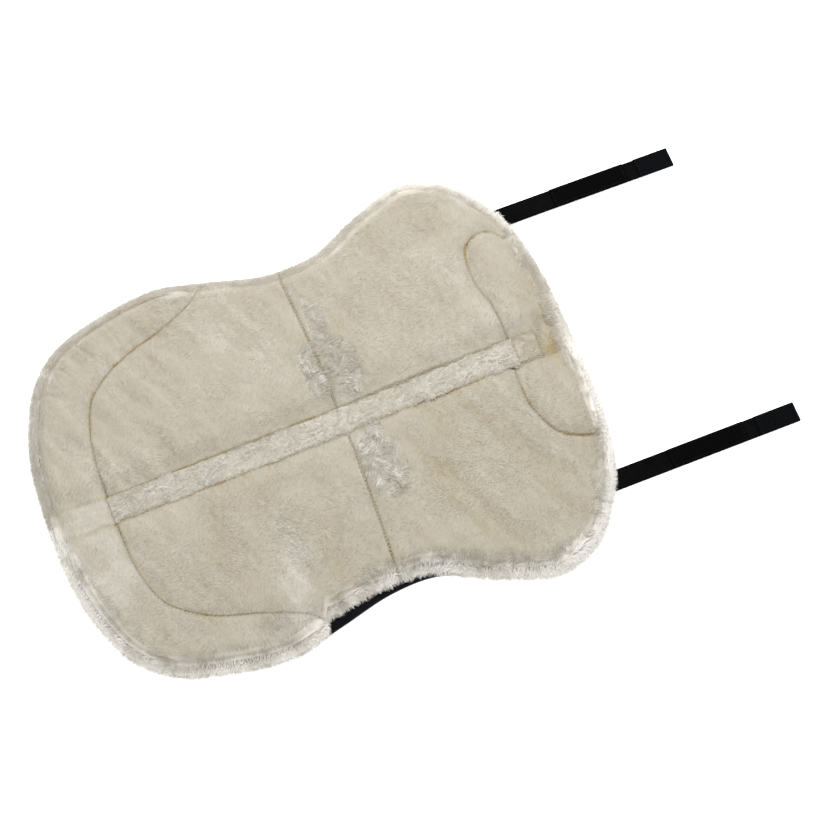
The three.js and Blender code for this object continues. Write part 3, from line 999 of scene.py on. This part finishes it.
def spine_pile():
    """Curly pile on the strip, shorter on the square, brushed behind and ahead of them."""
    rng = np.random.default_rng(151)
    low, high = (TAPE_LOW[0] - 2, -STRIP_HALF - 1), (TAPE_HIGH[0] + 3, STRIP_HALF + 1)
    x, y = jittered(low, high, 1.05, 152)
    ragged = on_strip(x) * (1.3 * noise(x, np.sign(y) * 40, 3.5, 159) - 0.8)
    keep = (np.abs(y) < spine_reach(x, y) + 1.0 + ragged) & (to_edge(x, np.abs(y + strip_centre(x))) > 1.5)
    keep &= (x > EDGE[0, 0]) & (x < EDGE[-1, 0])
    x, y = x[keep], y[keep]
    curly = np.where((x > STRIP_LOW[0]) & (x < SQUARE_LOW[0]), 1.0, 0.2)
    count = len(x)
    plain = nap_heading(x, np.abs(y), "left") + rng.normal(0, 0.22, count)
    swirl = -0.3 + 0.6 * np.pi * curly * noise(x / 1.5, y, 7, 157) + rng.normal(0, 0.4, count)
    heading = np.where(on_strip(x), swirl, plain)
    slope = slope_along(lambda px, py: spine_top(px, py, curly), x, y, heading)
    lift = np.radians(PILE_LIFT + rng.normal(0, 3, count)) + slope
    length = PILE_LENGTH + 1.0 * curly + rng.normal(0, 0.5, count)
    width = PILE_WIDTH + 0.11 * curly + rng.normal(0, 0.03, count)
    places = np.stack([x, y + strip_centre(x), spine_top(x, y, curly) - PILE_ROOT], 1)
    points, faces = tufts(places, heading, lift, length, width, flatness=0.22, curl=0.25, twist=0.2, seed=155)
    shades = shade_of(spine_whiteness(x, y, curly), rng)
    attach(pile_piece("spine_pile", points, faces, shades), "spine")


# ---- cotton underside

QUILT_PITCH = 28.0


def quilt_height(x, y):
    """Underside of the quilted cotton: diamonds that bulge down between stitched lines."""
    a, b = (np.abs(np.sin(np.pi * across / (QUILT_PITCH * math.sqrt(2)))) for across in (x + y, x - y))
    return 2.1 - 1.9 * np.sqrt(np.clip(np.minimum(a, b) * 1.6, 0, 1))


def cotton_cover(side):
    x = np.arange(EDGE[:, 0].min() + 6, EDGE[:, 0].max() - 4, 2.4)
    inner = np.stack([x, np.full(len(x), TAPE_HIGH[1] + 0.5)], 1)
    outer = np.stack([x, half_width(x, 2.2)], 1)
    gx, gy = np.moveaxis(strip_grid(inner, outer, 84), -1, 0)
    margin = smooth((to_edge(gx, gy) - 6) / 8)
    bottom = 0.9 * (1 - margin) + quilt_height(gx, gy) * margin
    at_anchor = (gx > ANCHOR_LOW[0] - 1) & (np.abs(gy - STRAP_Y) < STRAP_HALF + 1)
    bottom = np.where(at_anchor, WEBBING_TOP + 0.3, bottom)
    piece = solid_piece(f"{side}_quilted_cotton", closed_slab(gx, gy, 3.1, bottom), COTTON, side)
    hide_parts(f"{side}_cotton_cover")
    bend_at_spine(piece)


def binding(side):
    """Folded binding round the waist, with a grey piping along its lower edge."""
    keep = (EDGE[:, 0] > BINDING_LOW[0] - 14) & (EDGE[:, 0] < BINDING_HIGH[0] + 22)
    line, normal = EDGE[keep], EDGE_IN[keep]
    deep = setback(line[:, 0], side) + 5
    section = [(0.3, 2.2), (0.3, 5.0), (1.4, 6.2), (deep, 6.4), (deep, 3.4), (1.6, 0.6)]

    def along_edge(inset, z):
        inset, z = np.broadcast_to(inset, len(line)), np.full(len(line), z)
        return np.column_stack([line + normal * inset[:, None], z])

    shape = swept(np.stack([along_edge(inset, z) for inset, z in section], 1))
    piece = solid_piece(f"{side}_flank_edge_binding", shape, BINDING, side)
    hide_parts(f"{side}_flank_binding")
    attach(piece, f"{side}_half")
    path = along_edge(0.6, 1.5)
    _, flat, up = path_axes(path)
    piping = solid_piece(f"{side}_flank_piping", swept(circles(path, 0.75, 8, flat, up)), PIPING, side)
    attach(piping, f"{side}_half")


def path_axes(path):
    """Unit vectors along a path, level across it, and up from both."""
    along = unit(np.gradient(path, axis=0))
    flat = unit(np.cross(along, (0, 0, 1.0)))
    return along, flat, np.cross(flat, along)


def circles(centres, radius, around, flat, up):
    """A ring of points about each centre."""
    turns = np.linspace(0, 2 * np.pi, around, endpoint=False)[None, :, None]
    return centres[:, None] + radius * (np.cos(turns) * flat[:, None] + np.sin(turns) * up[:, None])


STITCH_AROUND = 6
# Rings of a stitch: place as a share of its length, and radius as a share of the thread's.
STITCH_RINGS = [(-0.5, 0.35), (-0.25, 1.0), (0.25, 1.0), (0.5, 0.35)]
STITCH_POINTS = STITCH_AROUND * len(STITCH_RINGS)


def stitch_piece(name, paths, material, pitch, length, radius):
    """Separate short thread capsules along some lines, as one piece."""
    paths = [even(np.asarray(path, float), pitch) for path in paths]
    along, flat, up = (np.concatenate(axes) for axes in zip(*(path_axes(path) for path in paths)))
    path = np.concatenate(paths)
    rings = [
        circles(path + along * (s * length), radius * r, STITCH_AROUND, flat, up) for s, r in STITCH_RINGS
    ]
    n, last = STITCH_AROUND, STITCH_POINTS - STITCH_AROUND
    pairs = [(first + k, first + (k + 1) % n) for first in range(0, last, n) for k in range(n)]
    quads = [(a, b, b + n, a + n) for a, b in pairs]
    caps = [range(n - 1, -1, -1), range(last, STITCH_POINTS)]
    start = STITCH_POINTS * np.arange(len(path))[:, None, None]
    points = np.concatenate(rings, 1).reshape(-1, 3)
    arrays = [(np.array(faces) + start).reshape(-1, len(faces[0])) for faces in (quads, caps)]
    if signed_volume(points[:STITCH_POINTS], arrays[0][:len(quads)]) < 0:
        arrays = [a[:, ::-1] for a in arrays]
    piece = make_piece(name, points, arrays, material)
    return piece


# ---- straps


def woven_slab(name, x_range, y_middle, half, z_range, material, relief, rib=1.3):
    """Flat tape with ribs across it and slightly rounded edges."""
    x = np.arange(x_range[0], x_range[1] + 0.01, rib / 4)
    middle = np.linspace(-half + 0.9, half - 0.9, 28)
    y = np.concatenate([[-half, -half + 0.35], middle, [half - 0.35, half]])
    gx, gy = np.meshgrid(x, y, indexing="ij")
    rounding = 0.35 * smooth((np.abs(gy) - half + 0.9) / 0.9)
    ribs = relief * np.sin(2 * np.pi * gx / rib) * np.sign(np.sin(2 * np.pi * gy / (rib * 1.6)))
    shape = closed_slab(gx, gy + y_middle, z_range[1] + ribs - rounding, z_range[0] + rounding)
    piece = solid_piece(name, shape, material)
    return piece


WEBBING_START = 250.0


def strap(side):
    y = HALVES[side] * STRAP_Y
    half_body, strap_body, tip_body = f"{side}_half", f"{side}_strap", f"{side}_strap_tip"
    low, high = WEBBING_LOW[2] + 0.1, WEBBING_TOP
    fold_start, fold_end = LOOP_HIGH[0] - 5, HOOK_LOW[0] + 6

    def webbing(name, start, end, stands_for):
        piece = woven_slab(f"{side}_{name}", (start, end), y, STRAP_HALF, (low, high),
                           WEBBING, relief=0.08)
        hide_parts(f"{side}_{stands_for}")
        return piece

    anchor = webbing("sewn_end", ANCHOR_LOW[0], WEBBING_START, "strap_anchor")
    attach(anchor, half_body)
    bare = webbing("webbing", WEBBING_START + SEAM_GAP, fold_start - SEAM_GAP, "strap_webbing")
    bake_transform(bare)
    tip = webbing("tip", fold_start, TIP_END[side], "tip_webbing")
    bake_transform(tip)

    # The loop and hook tapes, each with a box of stitches a little inside its edges.
    z, inset = TAPE_TOP + 0.1, STRAP_HALF - 1.8
    for kind, start, end, box_end, material, relief, rib, body in (
        ("loop", LOOP_LOW[0], fold_start, fold_start - 2, LOOP_TAPE, 0.12, 1.7, strap_body),
        ("hook", fold_end, TIP_END[side] - 0.5, TIP_END[side] - 2.5, HOOK_TAPE_BLUE_SHEEN, 0.16, 1.5, tip_body),
    ):
        tape = woven_slab(f"{side}_{kind}_side", (start, end), y, STRAP_HALF - 0.2, (high + 0.15, TAPE_TOP),
                          material, relief, rib)
        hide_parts(f"{side}_{kind}_tape")
        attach(tape, body)
        box_start = start + 2
        lines = [[(box_start, y + s * inset, z), (box_end, y + s * inset, z)] for s in (1, -1)]
        lines += [[(x, y - inset, z), (x, y + inset, z)] for x in (box_start, box_end)]
        thread = stitch_piece(f"{side}_{kind}_stitches", lines, BLACK_THREAD,
                              pitch=3.0, length=2.3, radius=0.28)
        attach(thread, body)


def spine_tape():
    tape = woven_slab("spine_webbing", (TAPE_LOW[0], TAPE_HIGH[0]), 0, TAPE_HIGH[1], (0.05, TAPE_HIGH[2]),
                      WEBBING, relief=0.0, rib=2.4)
    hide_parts("spine_tape")
    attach(tape, "spine")


def cross_seam_thread(side):
    y = np.arange(20, 158, 1.0)
    x = cross_seam_line(y)
    path = mirrored(np.column_stack([x, y, pad_top(x, y, side) + 0.9]), HALVES[side])
    thread = stitch_piece(f"{side}_cross_seam_thread", [path], CREAM_THREAD,
                          pitch=3.6, length=2.6, radius=0.3)
    bend_at_spine(thread)


# ---- camera, light and floor


def camera():
    """Looks down over the right flank, with the withers end to the right."""
    azimuth, elevation, roll = (math.radians(a) for a in (-24.30, 72.08, 2.827))
    distance, target, lens = 1.9249, Vector((0.0952, -0.0148, 0.0)), 85.9
    level = math.cos(elevation)
    back = Vector((math.sin(azimuth) * level, -math.cos(azimuth) * level, math.sin(elevation)))
    right = Vector((math.cos(azimuth), math.sin(azimuth), 0))
    up = back.cross(right)
    turned_right = right * math.cos(roll) + up * math.sin(roll)
    turned_up = up * math.cos(roll) - right * math.sin(roll)
    data = bpy.data.cameras.new("camera")
    data.lens, data.sensor_width = lens, 36.0
    data.clip_start, data.clip_end = 0.05, 50
    made = add_object("camera", data)
    turn = Matrix((turned_right, turned_up, back)).transposed()
    made.matrix_world = Matrix.Translation(target + back * distance) @ turn.to_4x4()
    bpy.context.scene.camera = made


def area_light(name, place, size, power):
    """A round light aimed at the middle of the pad."""
    data = bpy.data.lights.new(name, "AREA")
    data.shape, data.size, data.energy = "DISK", size, power
    made = add_object(name, data)
    made.location = place
    made.rotation_mode = "QUATERNION"
    made.rotation_quaternion = Vector(place).to_track_quat("Z", "Y")


FLOOR_HALF = 20
FLOOR_Z = -0.0006


def studio():
    bpy.context.scene.view_settings.view_transform = "Standard"
    world = bpy.data.worlds.new("studio")
    world.use_nodes = True
    background = world.node_tree.nodes["Background"]
    background.inputs["Color"].default_value = (1, 1, 1, 1)
    background.inputs["Strength"].default_value = 0.80
    bpy.context.scene.world = world
    area_light("key", (0.55, 1.05, 1.35), 0.6, 43)
    area_light("near_fill", (0.15, -1.5, 1.0), 1.2, 10)
    area_light("fill", (-1.6, -0.6, 1.6), 1.8, 18)
    mesh = bpy.data.meshes.new("floor")
    corners = [(FLOOR_HALF * x, FLOOR_HALF * y, FLOOR_Z) for x, y in ((-1, -1), (1, -1), (1, 1), (-1, 1))]
    mesh.from_pydata(corners, [], [(0, 1, 2, 3)])
    floor = add_object("floor", mesh)
    material = new_material("pale_floor", srgb(252, 252, 252), 0.9)
    shader_of(material).inputs["Emission Color"].default_value = (1, 1, 1, 1)
    shader_of(material).inputs["Emission Strength"].default_value = 0.35
    mesh.materials.append(material)


camera()
studio()
spine_body()
spine_pile()
spine_tape()
for half in HALVES:
    rear_panel(half)
    front_panel(half)
    withers_pocket(half)
    rear_band(half)
    edge_roll(half)
    panel_pile(half)
    rim_pile(half)
    cotton_cover(half)
    binding(half)
    strap(half)
    cross_seam_thread(half)

bpy.context.view_layer.update()
